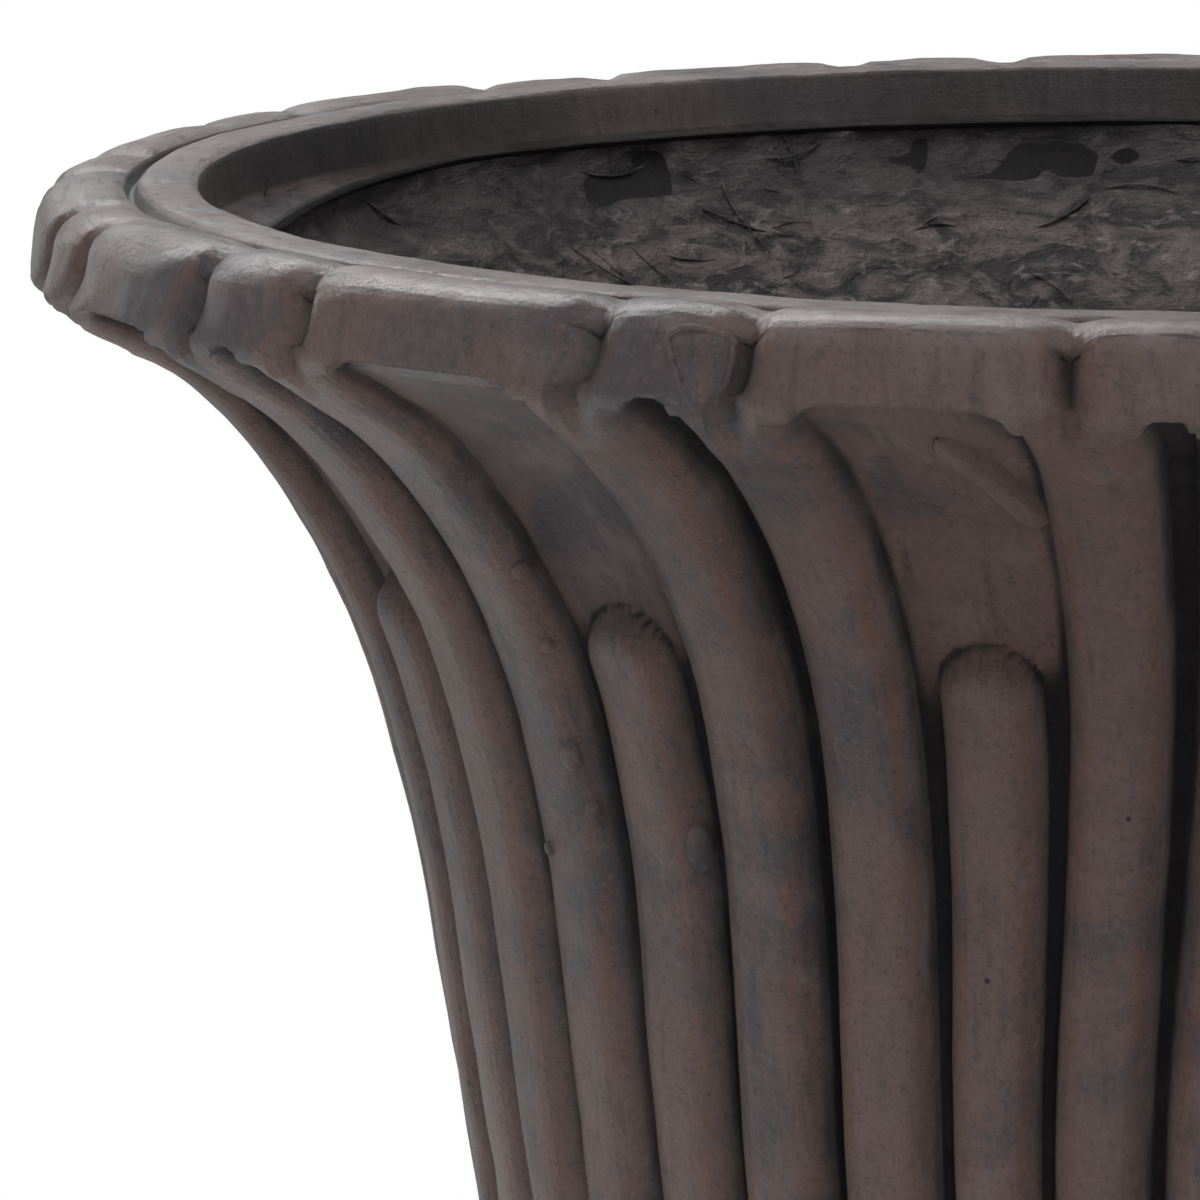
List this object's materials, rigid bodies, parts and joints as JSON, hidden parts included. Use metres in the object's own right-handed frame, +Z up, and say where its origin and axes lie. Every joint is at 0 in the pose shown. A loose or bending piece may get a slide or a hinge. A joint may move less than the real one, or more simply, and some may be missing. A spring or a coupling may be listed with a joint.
{
  "type": "urn planter",
  "caption": "Tall fluted garden urn planter with a leaf-tipped rim, flat inner ring and open well, on a round stem and square plinth.",
  "frame": {"origin": "centre of the plinth on the plane that its rubber pads stand on", "axes": "+Z up along the urn's axis; X and Y along the sides of the square plinth, with the drain hole on the +X side"},
  "size_m": [0.52, 0.52, 0.661],
  "materials": {
    "bowl_casting": "resin casting with a rubbed iron-like patina",
    "ring_casting": "smooth resin casting with a rubbed iron-like patina",
    "fibre_mat": "rough resin-soaked glass fibre mat",
    "pedestal_casting": "resin casting with a rubbed iron-like patina",
    "gasket_rubber": "matt",
    "bolt_steel": "zinc plated",
    "washer_steel": "zinc plated",
    "seal_rubber": "matt",
    "plug_rubber": "matt",
    "pad_rubber": "matt"
  },
  "bodies": {
    "urn": {"bowl": "bowl_casting", "inner_ring": "ring_casting", "fibre_backing": "fibre_mat", "pedestal": "pedestal_casting", "joint_gasket": "gasket_rubber", "centre_bolt": "bolt_steel", "upper_washer": "washer_steel", "seal_washer": "seal_rubber", "lower_washer": "washer_steel", "centre_nut": "bolt_steel", "foot_pads": "pad_rubber"},
    "plug": {"drain_plug": "plug_rubber"}
  },
  "joints": [
    {"name": "plug_pull", "type": "slide", "parent": "urn", "child": "plug", "axis": [0, 0, 1], "range_m": [0, 0.06]}
  ]
}
